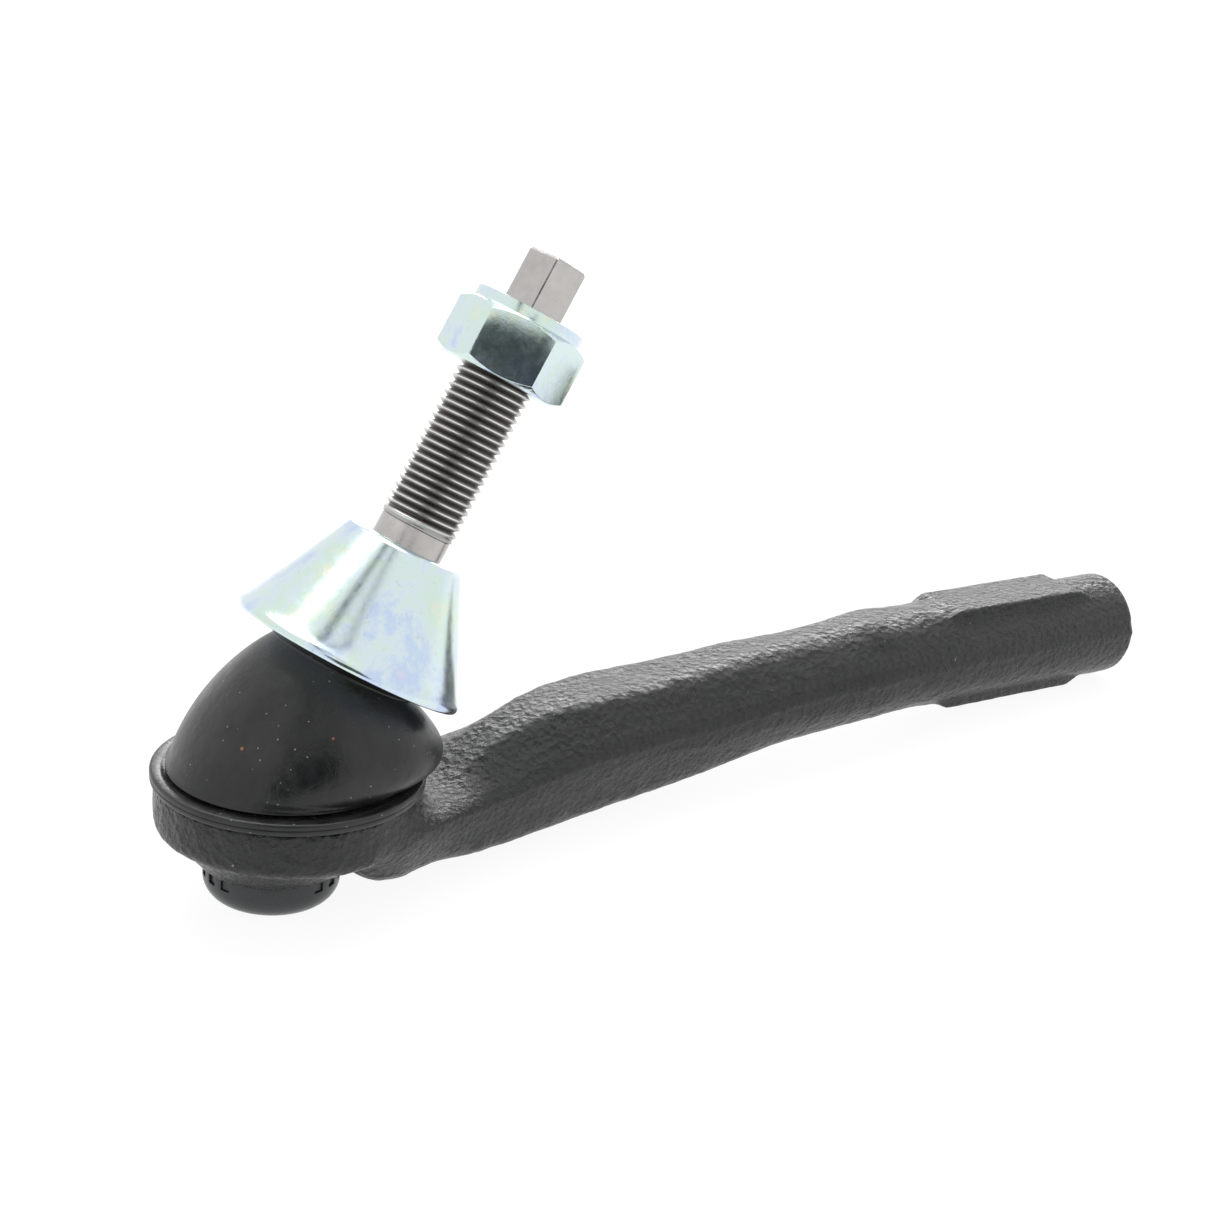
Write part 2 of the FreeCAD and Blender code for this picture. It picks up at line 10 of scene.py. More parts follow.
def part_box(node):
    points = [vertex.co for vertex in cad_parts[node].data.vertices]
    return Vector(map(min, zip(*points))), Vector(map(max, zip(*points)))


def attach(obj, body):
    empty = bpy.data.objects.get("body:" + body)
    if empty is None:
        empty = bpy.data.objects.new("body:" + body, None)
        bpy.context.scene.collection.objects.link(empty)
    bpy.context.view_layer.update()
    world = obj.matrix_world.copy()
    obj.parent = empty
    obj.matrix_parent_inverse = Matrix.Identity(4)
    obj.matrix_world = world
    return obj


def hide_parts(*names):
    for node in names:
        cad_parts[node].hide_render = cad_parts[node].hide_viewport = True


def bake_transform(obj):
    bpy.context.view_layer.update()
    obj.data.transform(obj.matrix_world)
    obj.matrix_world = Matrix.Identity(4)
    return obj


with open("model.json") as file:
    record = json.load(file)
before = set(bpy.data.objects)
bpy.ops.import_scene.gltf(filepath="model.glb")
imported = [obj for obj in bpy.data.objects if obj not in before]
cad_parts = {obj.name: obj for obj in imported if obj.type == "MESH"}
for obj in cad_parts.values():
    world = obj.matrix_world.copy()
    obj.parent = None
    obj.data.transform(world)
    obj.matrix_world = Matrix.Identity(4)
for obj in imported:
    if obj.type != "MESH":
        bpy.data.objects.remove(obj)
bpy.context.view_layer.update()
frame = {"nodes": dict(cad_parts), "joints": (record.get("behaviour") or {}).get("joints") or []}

# ---------------------------------------------------------------- studio
# A product table: matt white floor, white walls all round, a large lamp overhead, a bright window
# low behind, and slate cards round the camera. Bright metal shows the cards as dark bands, and
# black paint shows the white walls.

MM = 0.001
FLOOR_GAP = 0.4 * MM
CARD_DISTANCE = 0.55
scene = bpy.context.scene
scene.view_settings.view_transform = "Standard"


def linear(hex_colour):
    """An sRGB hex colour as linear red, green, blue and a full alpha."""
    channels = [int(hex_colour[place:place + 2], 16) / 255 for place in (1, 3, 5)]
    return [c / 12.92 if c <= 0.04045 else ((c + 0.055) / 1.055) ** 2.4 for c in channels] + [1.0]


def add(tree, kind, sockets=None, **settings):
    """Add a node: set its properties, then give each named socket a value or a link."""
    node = tree.nodes.new("ShaderNode" + kind)
    for name, value in settings.items():
        setattr(node, name, value)
    for name, value in (sockets or {}).items():
        if isinstance(value, bpy.types.NodeSocket):
            tree.links.new(value, node.inputs[name])
        else:
            node.inputs[name].default_value = value
    return node


def new_material(name, sockets):
    """A material and its Principled shader, whose even values are set on the shader itself."""
    material = bpy.data.materials.new(name)
    material.use_nodes = True
    shader = material.node_tree.nodes["Principled BSDF"]
    for socket, value in sockets.items():
        shader.inputs[socket].default_value = value
    return material, material.node_tree, shader


def stage_sheet(name, width, height, at, facing, material):
    """A flat rectangle of the studio, turned to face a direction."""
    mesh = bpy.data.meshes.new(name)
    corners = [(x * width / 2, y * height / 2, 0) for x, y in ((-1, -1), (1, -1), (1, 1), (-1, 1))]
    mesh.from_pydata(corners, [], [(0, 1, 2, 3)])
    mesh.materials.append(material)
    sheet = bpy.data.objects.new(name, mesh)
    scene.collection.objects.link(sheet)
    sheet.matrix_world = Matrix.Translation(at) @ facing.to_track_quat("Z", "Y").to_matrix().to_4x4()
    return sheet


# White paper: no shine, and light enough that the object leaves almost no shadow on it.
floor_white, *_ = new_material("matt_white_paper", {
    "Base Color": linear("#606060"), "Roughness": 1.0, "Specular IOR Level": 0.0,
    "Emission Color": (1, 1, 1, 1), "Emission Strength": 0.92})
# The object stands on the end cap and on the end of the arm, so the table leans by a few degrees.
cap_low, cap_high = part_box("end_cap")
cap_foot = Vector(((cap_low.x + cap_high.x) / 2, 0, cap_low.z))
arm_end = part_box("forged_housing")[1].x
arm_spots = [vertex.co for vertex in frame["nodes"]["forged_housing"].data.vertices]
arm_foot = Vector((arm_end, 0, min(spot.z for spot in arm_spots if spot.x > arm_end - 5 * MM)))
table_run = (arm_foot - cap_foot).normalized()
table_up = Vector((0, 1, 0)).cross(table_run) * -1
stage_sheet("floor", 9, 9, cap_foot - table_up * FLOOR_GAP, table_up, floor_white)

world = bpy.data.worlds.new("white_walls")
scene.world = world
world.use_nodes = True
world.node_tree.nodes["Background"].inputs["Color"].default_value = (1, 1, 1, 1)
world.node_tree.nodes["Background"].inputs["Strength"].default_value = 1.0

camera_at = Vector((-170.59, -329.84, 166.26)) * MM
camera_right = Vector((0.82823, -0.55449, 0.08108))
camera_up = Vector((0.12510, 0.32397, 0.93776))
camera_back = camera_right.cross(camera_up)
camera = bpy.data.objects.new("camera", bpy.data.cameras.new("camera"))
camera.data.lens = 68.87
camera.data.sensor_width = 36
scene.collection.objects.link(camera)
camera.matrix_world = Matrix.Translation(camera_at) @ Matrix(
    (camera_right, camera_up, camera_back)).transposed().to_4x4()
scene.camera = camera

# Each lamp: place, what it points at, width, height and power. The window is low behind the object,
# so it shines along the top faces.
LAMPS = [("overhead_lamp", (0.15, 0.25, 1.0), (0, 0, 0), 1.0, 0.7, 6.0),
         ("back_window", (0.62, 0.70, 0.36), (0.1, 0, 0), 0.7, 0.36, 5.0)]
for name, lamp_at, target, width, height, power in LAMPS:
    lamp = bpy.data.objects.new(name, bpy.data.lights.new(name, "AREA"))
    lamp.data.shape = "RECTANGLE"
    lamp.data.size = width
    lamp.data.size_y = height
    lamp.data.energy = power
    scene.collection.objects.link(lamp)
    away = Vector(lamp_at) - Vector(target)
    lamp.matrix_world = Matrix.Translation(lamp_at) @ away.to_track_quat("Z", "Y").to_matrix().to_4x4()

# Slate card: matt, so that it gives an even dark patch in the plated and turned metal.
card_slate, *_ = new_material("slate_card", {"Base Color": linear("#2a3036"), "Roughness": 0.9})
# Each card: sideways and upward angle from the camera as the object sees them, width and height.
CARDS = [("card_behind_camera", 1, -7, 0.40, 0.42), ("card_above_left", -8, 44, 0.055, 0.34),
         ("card_above_right", 10, 42, 0.025, 0.30)]
for name, sideways, upwards, width, height in CARDS:
    aim = camera_at.normalized()
    aim.rotate(Matrix.Rotation(math.radians(sideways), 3, "Z"))
    aim.rotate(Matrix.Rotation(math.radians(-upwards), 3, camera_right))
    card = stage_sheet(name, width, height, aim * CARD_DISTANCE, -aim, card_slate)
    card.visible_camera = False

# ---------------------------------------------------------------- forged housing and arm
# One steel drop forging: socket ring, boss under it, and the arm that ends in a round rod with
# wrench pads. Shot-blasted, machined only in its bores, then dipped in black e-coat.

VOXEL = 0.5 * MM
EASING = 0.6
SOCKET_BORE_EDGE, SOCKET_BORE_FLOOR = 14.8, -20
TIE_ROD_BORE_START, TIE_ROD_BORE_EDGE = 145, 9.2
# Height of the die line along the arm, as (x, z) in millimetres.
PARTING_LINE = ((20, -8.0), (32, -7.8), (44, -6.2), (57, -4.2), (72, -3.5), (88, -2.8), (104, -1.4),
                (122, -0.4), (140, 0.6), (197, 1.2))


def remeshed(node, voxel):
    """A copy of a CAD node's mesh, rebuilt as an even net of small quads."""
    source = bpy.data.objects.new("remesh_source", frame["nodes"][node].data.copy())
    scene.collection.objects.link(source)
    modifier = source.modifiers.new("remesh", "REMESH")
    modifier.mode = "VOXEL"
    modifier.voxel_size = voxel
    evaluated = source.evaluated_get(bpy.context.evaluated_depsgraph_get())
    mesh = bpy.data.meshes.new_from_object(evaluated)
    bpy.data.objects.remove(source)
    return mesh


def mesh_points(mesh):
    points = np.empty(len(mesh.vertices) * 3)
    mesh.vertices.foreach_get("co", points)
    return points.reshape(-1, 3)


def mesh_normals(mesh):
    normals = np.empty(len(mesh.vertices) * 3)
    mesh.vertex_normals.foreach_get("vector", normals)
    return normals.reshape(-1, 3)


def set_points(mesh, points):
    mesh.vertices.foreach_set("co", points.ravel())
    mesh.update()


def relaxed(mesh, weight, rounds):
    """Pull each vertex towards the middle of its neighbours, as far as its weight says."""
    edges = np.empty(len(mesh.edges) * 2, int)
    mesh.edges.foreach_get("vertices", edges)
    first, second = edges.reshape(-1, 2).T
    points = mesh_points(mesh)
    count = len(points)
    neighbours = np.bincount(first, minlength=count) + np.bincount(second, minlength=count)
    for _ in range(rounds):
        total = np.stack([np.bincount(first, points[second, axis], count)
                          + np.bincount(second, points[first, axis], count) for axis in range(3)], 1)
        points += (total / neighbours[:, None] - points) * weight[:, None] * EASING
    set_points(mesh, points)


def bump_at(values, middle, half_width):
    """1 at the middle, fading smoothly to nothing a few half widths away."""
    return np.exp(-((values - middle) / half_width) ** 2)


def ramp(values, start, end):
    """0 before start, 1 after end, smooth between."""
    share = np.clip((values - start) / (end - start), 0, 1)
    return share * share * (3 - 2 * share)


def finished(name, mesh, material, body, place=None, sharp=None):
    """Link a piece, smooth its shading, give it its finish and hang it on its body."""
    piece = bpy.data.objects.new(name, mesh)
    scene.collection.objects.link(piece)
    mesh.materials.clear()
    mesh.materials.append(material)
    mesh.shade_smooth()
    if sharp is not None:
        mesh.set_sharp_from_angle(angle=math.radians(sharp))
    if place is not None:
        piece.matrix_world = place
    if body is not None:
        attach(piece, body)
    return piece


# Black electrophoretic paint on a blasted forging: near black and semi-gloss over a pebbled skin,
# with shallow dimples where scale was knocked off and a few pale chips.
forging_paint, tree, shader = new_material("black_ecoat_on_forging", {"IOR": 1.52})
place = add(tree, "TexCoord").outputs["Object"]
scale_marks = add(tree, "TexNoise", {"Vector": place, "Scale": 1 / (6.0 * MM), "Detail": 6.0,
                                     "Roughness": 0.6})
dimples = add(tree, "TexVoronoi", {"Vector": place, "Scale": 1 / (1.3 * MM), "Randomness": 1.0})
blasting = add(tree, "TexNoise", {"Vector": place, "Scale": 1 / (0.55 * MM), "Detail": 4.0,
                                  "Roughness": 0.65})
chips = add(tree, "TexNoise", {"Vector": place, "Scale": 1 / (1.6 * MM), "Detail": 2.0, "Roughness": 0.5})
chip_mask = add(tree, "ValToRGB", {"Fac": chips.outputs["Fac"]})
chip_mask.color_ramp.elements[0].position = 0.765
chip_mask.color_ramp.elements[1].position = 0.785
paint_tone = add(tree, "Mix", {"Factor": scale_marks.outputs["Fac"], "A": linear("#0b0c0d"),
                               "B": linear("#161718")}, data_type="RGBA")
paint_colour = add(tree, "Mix", {"Factor": chip_mask.outputs["Color"], "A": paint_tone.outputs["Result"],
                                 "B": linear("#7d7c78")}, data_type="RGBA")
tree.links.new(paint_colour.outputs["Result"], shader.inputs["Base Color"])
gloss = add(tree, "MapRange", {"Value": scale_marks.outputs["Fac"], "From Min": 0.3, "From Max": 0.7,
                               "To Min": 0.18, "To Max": 0.32})
tree.links.new(gloss.outputs["Result"], shader.inputs["Roughness"])
fine = add(tree, "Bump", {"Height": blasting.outputs["Fac"], "Strength": 1.0, "Distance": 0.42 * MM})
pitted = add(tree, "Bump", {"Height": dimples.outputs["Distance"], "Strength": 0.9, "Distance": 0.5 * MM,
                            "Normal": fine.outputs["Normal"]})
coarse = add(tree, "Bump", {"Height": scale_marks.outputs["Fac"], "Strength": 0.7, "Distance": 1.0 * MM,
                            "Normal": pitted.outputs["Normal"]})
tree.links.new(coarse.outputs["Normal"], shader.inputs["Normal"])

forging_mesh = remeshed("forged_housing", VOXEL)
points = mesh_points(forging_mesh) / MM
x, y, z = points.T
from_socket_axis = np.hypot(x, y)
from_arm_axis = np.hypot(y, z)
# The machined bores keep their turned surface, so the forged skin leaves them out.
socket_bore = (from_socket_axis < SOCKET_BORE_EDGE) & (z > SOCKET_BORE_FLOOR)
tie_rod_bore = (x > TIE_ROD_BORE_START) & (from_arm_axis < TIE_ROD_BORE_EDGE)
skin = np.where(socket_bore | tie_rod_bore, 0.0, 1.0)
flange_seat = 1 - ramp(z, -3.4, -2.4)
ring_edge = ramp(from_socket_axis, 21.5, 23.2) * (1 - ramp(from_socket_axis, 27, 33)) * ramp(x, 4, 10)
relaxed(forging_mesh, skin * (0.25 + 0.75 * flange_seat), 3)
relaxed(forging_mesh, ring_edge * flange_seat, 70)
relaxed(forging_mesh, skin * ramp(x, 128, 134) * (1 - ramp(x, 143, 147)), 60)

points = mesh_points(forging_mesh) / MM
normals = mesh_normals(forging_mesh)
x, y, z = points.T
line_height = np.interp(x, *zip(*PARTING_LINE))
off_line = z - line_height
on_side = ramp(np.abs(normals[:, 1]), 0.45, 0.8) * ramp(x, 18, 26)
# The flash stands proud at the die line, with a shallow trimmed groove above it.
flash = 0.42 * bump_at(off_line, 0, 0.8) - 0.24 * bump_at(off_line, 1.9, 0.8)
flash *= on_side * (1 - 0.55 * ramp(x, 120, 150))
dents = np.array([noise.fractal(Vector(p) / 3.2, 0.9, 2.1, 4) for p in points])
patches = np.array([noise.noise(Vector(p) / 11.0) for p in points])
machined = np.maximum(ramp(x, 195.4, 195.9), ramp(z, -3.6, -2.6) * (1 - ramp(from_socket_axis, 24, 25)))
rough = skin * (1 - machined) * (1 - 0.45 * ramp(x, 140, 150))
# The arm's top swells a little before it becomes the round rod, and thins where they meet.
fuller_top = 0.6 * bump_at(x, 118, 8) - 0.35 * bump_at(x, 134, 6)
fuller_top *= ramp(normals[:, 2], 0.1, 0.6)
push = (flash + fuller_top) * skin + rough * (0.13 * dents + 0.10 * patches)
set_points(forging_mesh, (points + normals * push[:, None]) * MM)
forging = finished("forging", forging_mesh, forging_paint, "housing")
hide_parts("forged_housing")

# ---------------------------------------------------------------- pieces inside the socket
# Two acetal bearing halves hold the ball, a steel closing ring is rolled in above them, and a
# pad and a coil spring under them take up wear. None of them shows while the joint is whole.

# Natural acetal: off-white, dense and waxy, with faint flow marks from the mould.
acetal, tree, shader = new_material("moulded_acetal", {"Roughness": 0.42, "IOR": 1.48,
                                                       "Subsurface Weight": 0.05})
flow = add(tree, "TexNoise", {"Vector": add(tree, "TexCoord").outputs["Object"], "Scale": 1 / (4.0 * MM),
                              "Detail": 3.0})
tone = add(tree, "Mix", {"Factor": flow.outputs["Fac"], "A": linear("#dcd8ca"), "B": linear("#e9e6dc")},
           data_type="RGBA")
tree.links.new(tone.outputs["Result"], shader.inputs["Base Color"])

# Bare pressed steel under a film of grease: grey, streaked by rolling.
pressed_steel, tree, shader = new_material("greased_pressed_steel", {"Metallic": 1.0})
streaks = add(tree, "TexNoise", {"Vector": add(tree, "TexCoord").outputs["Object"], "Scale": 1 / (0.8 * MM),
                                 "Detail": 5.0})
tone = add(tree, "Mix", {"Factor": streaks.outputs["Fac"], "A": linear("#77787a"), "B": linear("#a9a9aa")},
           data_type="RGBA")
tree.links.new(tone.outputs["Result"], shader.inputs["Base Color"])
gloss = add(tree, "MapRange", {"Value": streaks.outputs["Fac"], "To Min": 0.25, "To Max": 0.45})
tree.links.new(gloss.outputs["Result"], shader.inputs["Roughness"])

for node, material in (("lower_bearing", acetal), ("upper_bearing", acetal), ("closing_ring", pressed_steel),
                       ("pressure_pad", pressed_steel), ("preload_spring", pressed_steel)):
    frame["nodes"][node].data.materials.clear()
    frame["nodes"][node].data.materials.append(material)

# ---------------------------------------------------------------- end cap
# A cup drawn from sheet steel, pressed over the boss under the socket and staked with groups of
# small dents round its rim. Painted with the forging, so its drawn surface shines more.

# Edges that turn by more than this many degrees are broken.
SHARP_EDGE = 24


def eased(node, width):
    """A copy of a CAD node's mesh with its vertices joined and its sharp edges slightly broken."""
    form = bmesh.new()
    form.from_mesh(frame["nodes"][node].data)
    bmesh.ops.remove_doubles(form, verts=form.verts, dist=0.002 * MM)
    bmesh.ops.dissolve_limit(form, angle_limit=math.radians(0.5), verts=form.verts, edges=form.edges)
    sharp = [edge for edge in form.edges
             if len(edge.link_faces) == 2 and edge.calc_face_angle() > math.radians(SHARP_EDGE)]
    bmesh.ops.bevel(form, geom=sharp, offset=width, segments=2, profile=0.5, affect="EDGES",
                    clamp_overlap=True)
    mesh = bpy.data.meshes.new(node + "_eased")
    form.to_mesh(mesh)
    form.free()
    return mesh


# The same black paint over smooth drawn sheet: an even black gloss with light scuffs.
cap_paint, tree, shader = new_material("black_ecoat_on_drawn_sheet", {"IOR": 1.55})
place = add(tree, "TexCoord").outputs["Object"]
scuffs = add(tree, "TexNoise", {"Vector": place, "Scale": 1 / (2.4 * MM), "Detail": 6.0, "Roughness": 0.7})
tone = add(tree, "Mix", {"Factor": scuffs.outputs["Fac"], "A": linear("#17181a"), "B": linear("#2a2c2f")},
           data_type="RGBA")
tree.links.new(tone.outputs["Result"], shader.inputs["Base Color"])
gloss = add(tree, "MapRange", {"Value": scuffs.outputs["Fac"], "From Min": 0.3, "From Max": 0.7,
                               "To Min": 0.20, "To Max": 0.36})
tree.links.new(gloss.outputs["Result"], shader.inputs["Roughness"])
ripple = add(tree, "Bump", {"Height": scuffs.outputs["Fac"], "Strength": 0.3, "Distance": 0.15 * MM})
tree.links.new(ripple.outputs["Normal"], shader.inputs["Normal"])

end_cap = finished("staked_end_cap", eased("end_cap", 0.15 * MM), cap_paint, "housing",
                   sharp=32)
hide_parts("end_cap")

# ---------------------------------------------------------------- boot base ring
# The boot's foot: a steel ring covered in the boot's rubber, pressed onto the socket ring. Its
# flat rim stands out past the forging, and a fine moulding line runs round its side.

# The share of a side that one rounded corner may take, so that two of them never meet.
CORNER_SHARE = 0.48


def rounded(corners, steps=4):
    """Points (radius, height) of an outline whose corners (radius, height, rounding) are rounded."""
    outline = []
    for index, (radius, height, rounding) in enumerate(corners):
        corner = Vector((radius, height))
        before = Vector(corners[index - 1][:2]) - corner
        after = Vector(corners[(index + 1) % len(corners)][:2]) - corner
        start = corner + before.normalized() * min(rounding, CORNER_SHARE * before.length)
        end = corner + after.normalized() * min(rounding, CORNER_SHARE * after.length)
        for step in range(steps + 1 if rounding else 1):
            share = step / steps
            outline.append(start * (1 - share) ** 2 + corner * 2 * share * (1 - share) + end * share ** 2)
    return outline


def lathe(name, outline, around=128):
    """Turn a closed outline of (radius, height) points, in millimetres, about Z."""
    count = len(outline)
    turns = [2 * math.pi * step / around for step in range(around)]
    corners = [(r * math.cos(a) * MM, r * math.sin(a) * MM, h * MM) for a in turns for r, h in outline]
    faces = []
    for step in range(around):
        here, there = step * count, (step + 1) % around * count
        for index in range(count):
            after = (index + 1) % count
            faces.append((here + index, there + index, there + after, here + after))
    mesh = bpy.data.meshes.new(name)
    mesh.from_pydata(corners, [], faces)
    form = bmesh.new()
    form.from_mesh(mesh)
    bmesh.ops.remove_doubles(form, verts=form.verts, dist=0.001 * MM)
    bmesh.ops.dissolve_degenerate(form, edges=form.edges, dist=0.0005 * MM)
    bmesh.ops.recalc_face_normals(form, faces=form.faces)
    form.to_mesh(mesh)
    form.free()
    return mesh


# Moulded chloroprene rubber: black with a soft broad sheen, smudges from handling, and specks of
# dust and rust that stick to it.
boot_rubber, tree, shader = new_material("moulded_chloroprene_rubber", {
    "IOR": 1.5, "Sheen Weight": 0.04, "Sheen Roughness": 0.5})
place = add(tree, "TexCoord").outputs["Object"]
mottle = add(tree, "TexNoise", {"Vector": place, "Scale": 1 / (7.0 * MM), "Detail": 5.0, "Roughness": 0.6})
grain = add(tree, "TexNoise", {"Vector": place, "Scale": 1 / (0.35 * MM), "Detail": 3.0})
dust = add(tree, "TexVoronoi", {"Vector": place, "Scale": 1 / (1.9 * MM), "Randomness": 1.0})
dust_mask = add(tree, "MapRange", {"Value": dust.outputs["Distance"], "From Min": 0.06, "From Max": 0.09,
                                   "To Min": 1.0, "To Max": 0.0})
rust = add(tree, "TexVoronoi", {"Vector": place, "Scale": 1 / (5.5 * MM), "Randomness": 1.0})
rust_mask = add(tree, "MapRange", {"Value": rust.outputs["Distance"], "From Min": 0.045, "From Max": 0.065,
                                   "To Min": 1.0, "To Max": 0.0})
smudges = add(tree, "MapRange", {"Value": mottle.outputs["Fac"], "From Min": 0.42, "From Max": 0.66})
rubber_tone = add(tree, "Mix", {"Factor": smudges.outputs["Result"], "A": linear("#08090a"),
                                "B": linear("#1f1f20")}, data_type="RGBA")
dusty = add(tree, "Mix", {"Factor": dust_mask.outputs["Result"], "A": rubber_tone.outputs["Result"],
                          "B": linear("#7f7d79")}, data_type="RGBA")
rusty = add(tree, "Mix", {"Factor": rust_mask.outputs["Result"], "A": dusty.outputs["Result"],
                          "B": linear("#8a5a36")}, data_type="RGBA")
tree.links.new(rusty.outputs["Result"], shader.inputs["Base Color"])
gloss = add(tree, "MapRange", {"Value": mottle.outputs["Fac"], "From Min": 0.3, "From Max": 0.7,
                               "To Min": 0.24, "To Max": 0.44})
tree.links.new(gloss.outputs["Result"], shader.inputs["Roughness"])
texture = add(tree, "Bump", {"Height": grain.outputs["Fac"], "Strength": 0.18, "Distance": 0.06 * MM})
waves = add(tree, "Bump", {"Height": mottle.outputs["Fac"], "Strength": 0.45, "Distance": 0.7 * MM,
                           "Normal": texture.outputs["Normal"]})
tree.links.new(waves.outputs["Normal"], shader.inputs["Normal"])

ring_low, ring_high = (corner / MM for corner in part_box("boot_base_ring"))
RING_BORE = 16.0
ring_radius = ring_high.x
mid = (ring_low.z + ring_high.z) / 2
base_ring_mesh = lathe("boot_base_ring_rubber", rounded([
    (RING_BORE, ring_low.z, 0.2), (ring_radius - 0.5, ring_low.z, 0.3),
    (ring_radius - 0.05, mid - 0.75, 0.35), (ring_radius - 0.05, mid - 0.12, 0.1),
    (ring_radius - 0.22, mid, 0.05), (ring_radius - 0.02, mid + 0.12, 0.1),
    (ring_radius, ring_high.z - 0.1, 0.6), (ring_radius - 1.7, ring_high.z, 0.5),
    (ring_radius - 2.4, ring_high.z - 0.35, 0.3), (RING_BORE, ring_high.z - 0.35, 0.2)]), 160)
base_ring = finished("boot_base_ring_rubber", base_ring_mesh, boot_rubber, "housing", sharp=60)
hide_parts("boot_base_ring")

# ---------------------------------------------------------------- boot
# A one-piece moulded rubber dome. Its foot turns on the base ring, its neck grips a ring on the
# shank, and here it leans over with the stud, so it bulges on the low side.

STUD_AXIS = Vector(next(joint["axis"] for joint in frame["joints"] if joint["name"] == "stud_spin"))
LEAN = math.atan2(STUD_AXIS.x, STUD_AXIS.z)
STUD_PLACE = Matrix.Rotation(LEAN, 4, "Y")
BOOT_WALL = 1.4
NECK_AT = 20.3
LEAN_GROWTH = 0.66
# From foot to neck, four blended values each: ring radius, centre along X and centre height.
boot_radii = (20.5, 25.8, 15.1, 13.0)
boot_across = (-0.4, 9.6, NECK_AT * math.sin(LEAN) - 0.92, NECK_AT * math.sin(LEAN))
boot_heights = (0.6, 7.2, NECK_AT * math.cos(LEAN) - 1.65, NECK_AT * math.cos(LEAN))


def blended(values, share):
    """Cubic Bezier blend of four values."""
    rest = 1 - share
    weights = (rest ** 3, 3 * share * rest ** 2, 3 * share ** 2 * rest, share ** 3)
    return sum(weight * value for weight, value in zip(weights, values))


def boot_ring(share, inwards, upwards, around):
    """One ring of the leaning dome, moved inwards and upwards from the outer skin in its own plane."""
    turn = Matrix.Rotation(LEAN * share ** LEAN_GROWTH, 3, "Y")
    centre = Vector((blended(boot_across, share), 0, blended(boot_heights, share)))
    radius = blended(boot_radii, share) - inwards
    ring = []
    for step in range(around):
        angle = 2 * math.pi * step / around
        spot = Vector((radius * math.cos(angle), radius * math.sin(angle), upwards))
        ring.append((centre + turn @ spot) * MM)
    return ring


def boot_mesh(around=160, rows=60):
    """Outer skin from foot to neck, a rolled lip at the neck, and the inner skin back down."""
    path = [(0.0, 0.9, -0.05), (0.0, 0.25, -0.25), (0.0, -0.25, 0.0)]
    for row in range(rows + 1):
        share = row / rows
        foot_bead = -0.45 * math.exp(-((share - 0.012) / 0.012) ** 2)
        neck_bead = -0.35 * math.exp(-((share - 0.965) / 0.014) ** 2)
        path.append((share, foot_bead + neck_bead, 0.0))
    path += [(1.0, 0.15, 0.3), (1.0, 0.6, 0.45), (1.0, 1.1, 0.3), (1.0, BOOT_WALL, -0.1)]
    path += [(row / rows, BOOT_WALL, 0.0) for row in range(rows - 1, -1, -1)]
    rings = [boot_ring(share, inwards, upwards, around) for share, inwards, upwards in path]
    corners = [spot for ring in rings for spot in ring]
    faces = []
    for row in range(len(rings)):
        here, there = row * around, (row + 1) % len(rings) * around
        for step in range(around):
            after = (step + 1) % around
            faces.append((here + step, here + after, there + after, there + step))
    mesh = bpy.data.meshes.new("rubber_boot")
    mesh.from_pydata(corners, [], faces)
    return mesh


boot = finished("rubber_boot", boot_mesh(), boot_rubber, None)
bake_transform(boot)
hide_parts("boot")

# ---------------------------------------------------------------- neck ring
# A black nylon ring that the boot's neck seals on. It leans with the stud while the shank can
# turn inside it.

# Moulded nylon: near black, a little shinier than the rubber, with a fine spark-eroded texture.
neck_nylon, tree, shader = new_material("moulded_black_nylon", {"IOR": 1.53})
place = add(tree, "TexCoord").outputs["Object"]
texture = add(tree, "TexNoise", {"Vector": place, "Scale": 1 / (0.3 * MM), "Detail": 3.0})
tone = add(tree, "Mix", {"Factor": texture.outputs["Fac"], "A": linear("#1b1c1f"), "B": linear("#2a2b2e")},
           data_type="RGBA")
tree.links.new(tone.outputs["Result"], shader.inputs["Base Color"])
gloss = add(tree, "MapRange", {"Value": texture.outputs["Fac"], "To Min": 0.3, "To Max": 0.5})
tree.links.new(gloss.outputs["Result"], shader.inputs["Roughness"])


def along_stud(node):
    """Lowest and highest distance of a CAD node along the stud, and its largest radius, in mm."""
    spots = [vertex.co / MM for vertex in frame["nodes"][node].data.vertices]
    reach = [STUD_AXIS.dot(spot) for spot in spots]
    radii = [(spot - STUD_AXIS * far).length for spot, far in zip(spots, reach)]
    return min(reach), max(reach), max(radii)


neck_low, neck_high, neck_radius = along_stud("boot_neck_ring")
SHANK_RADIUS, RUNNING_GAP, PRESS_GAP = 6.45, 0.1, 0.02
neck_mesh = lathe("boot_neck_seal", rounded([
    (SHANK_RADIUS + RUNNING_GAP, neck_low, 0.2), (neck_radius, neck_low, 0.5), (neck_radius, neck_high, 0.5),
    (SHANK_RADIUS + RUNNING_GAP, neck_high, 0.2)]), 96)
neck = finished("boot_neck_seal", neck_mesh, neck_nylon, "lean", STUD_PLACE, sharp=50)
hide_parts("boot_neck_ring")

# ---------------------------------------------------------------- ball stud
# Cold-headed and turned steel: ball, waisted neck, plain shank, rolled M14 x 1.5 thread and a
# milled square drive at the tip. Left bare and lightly oiled.

THREAD_START, THREAD_END, THREAD_PITCH = 47.2, 88.6, 1.5
THREAD_RADIUS = 6.925
THREAD_DEPTH = 0.9
NECK_RADIUS, NECK_START, NECK_END, SHANK_START = 5.5, 12.6, 15.0, 18.1
_, stud_high, ball_radius = along_stud("ball_stud")

